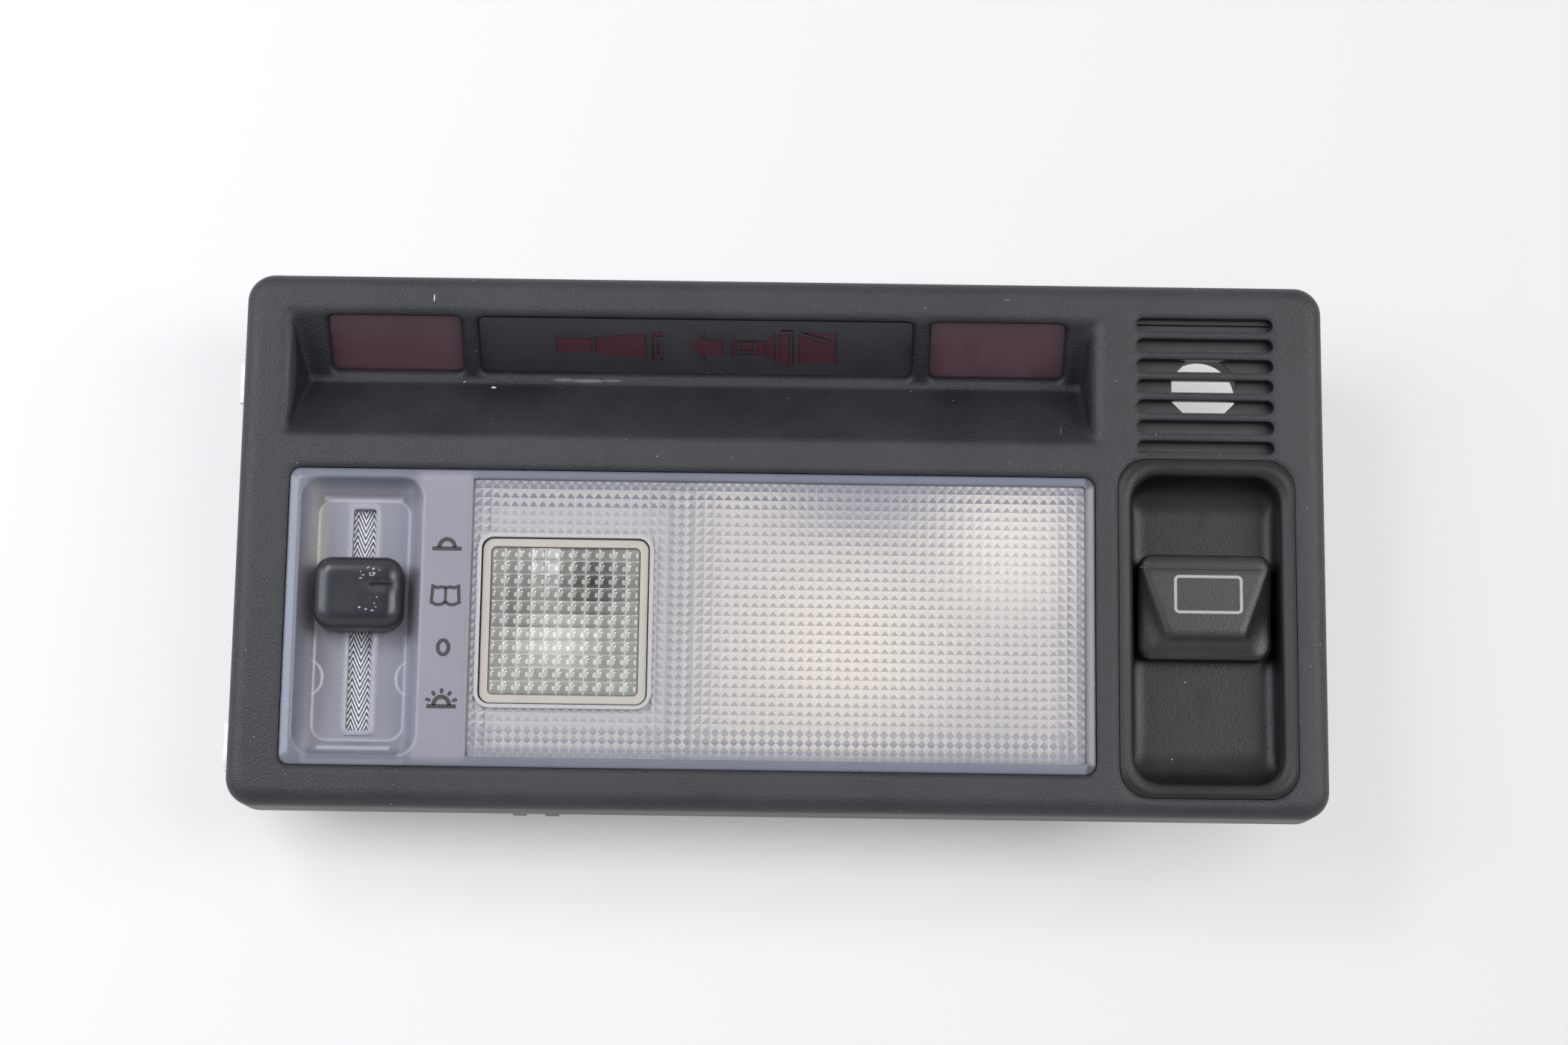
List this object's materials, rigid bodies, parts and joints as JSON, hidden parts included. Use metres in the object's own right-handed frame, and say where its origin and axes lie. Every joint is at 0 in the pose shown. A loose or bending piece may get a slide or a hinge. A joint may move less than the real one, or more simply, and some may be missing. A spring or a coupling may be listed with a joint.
{
  "type": "car dome light",
  "caption": "Interior roof lamp with prismatic lens, reading optic, slide switch, seat-belt display trough, grille over a sensor duct and a rocker switch in a finger recess.",
  "frame": {"origin": "bottom centre of the bounding box: on the plane the lamp body lies on, lamp face up", "axes": "+X along the bezel, from the slide switch towards the rocker; +Y across it, from the lamp towards the display; +Z out of the face"},
  "size_m": [0.208, 0.1016, 0.039],
  "materials": {
    "black_textured": "fine grained",
    "black_satin": "satin",
    "gloss_black": "polished by touch",
    "dark_plastic": "plain",
    "grey_plastic": "plain",
    "white_plastic": "plain, slightly yellowed",
    "cream_plastic": "satin",
    "frosted_clear": "prismatic",
    "clear_optic": "clear plastic with pillow cells",
    "dark_foil": "smoked",
    "red_filter": "dark red, translucent",
    "bulb_glass": "clear with metal caps",
    "woven_tape": "herringbone weave",
    "brass": "stamped",
    "spring_steel": "rolled",
    "zinc_steel": "zinc plated"
  },
  "bodies": {
    "housing": {"bezel": "black_textured", "display_mask": "dark_foil", "display_filter": "red_filter", "display_box": "grey_plastic", "display_holders": "dark_plastic", "display_bulbs": "bulb_glass", "display_screws": "zinc_steel", "dome_lens": "frosted_clear", "reading_lens": "clear_optic", "reading_reflector": "cream_plastic", "reading_bulb": "bulb_glass", "reading_holder": "dark_plastic", "slot_tape": "woven_tape", "contact_rails": "brass", "detent_strip": "spring_steel", "lamp_body": "white_plastic", "dome_reflector": "white_plastic", "festoon_bulb": "bulb_glass", "festoon_contact_left": "brass", "festoon_contact_right": "brass", "connector_pins": "brass", "lamp_screws": "zinc_steel", "switch_tray": "black_satin", "rocker_pin": "zinc_steel", "switch_body": "dark_plastic", "switch_contacts": "brass", "switch_screws": "zinc_steel", "sensor_duct": "dark_plastic", "spring_clips": "spring_steel"},
    "slider": {"slide_knob": "gloss_black", "slide_carrier": "white_plastic", "slide_contact": "brass"},
    "rocker": {"rocker_cap": "black_satin", "rocker_plunger": "white_plastic", "plunger_spring": "spring_steel"}
  },
  "joints": [
    {"name": "slide_switch", "type": "slide", "parent": "housing", "child": "slider", "axis": [0, 1, 0], "range_m": [-0.0196, 0.0098]},
    {"name": "roof_rocker", "type": "hinge", "parent": "housing", "child": "rocker", "pos_m": [0.0815, -0.0108, 0.021], "axis": [1, 0, 0], "range_deg": [-8, 8], "stiffness_Nm_per_rad": 0.3}
  ]
}
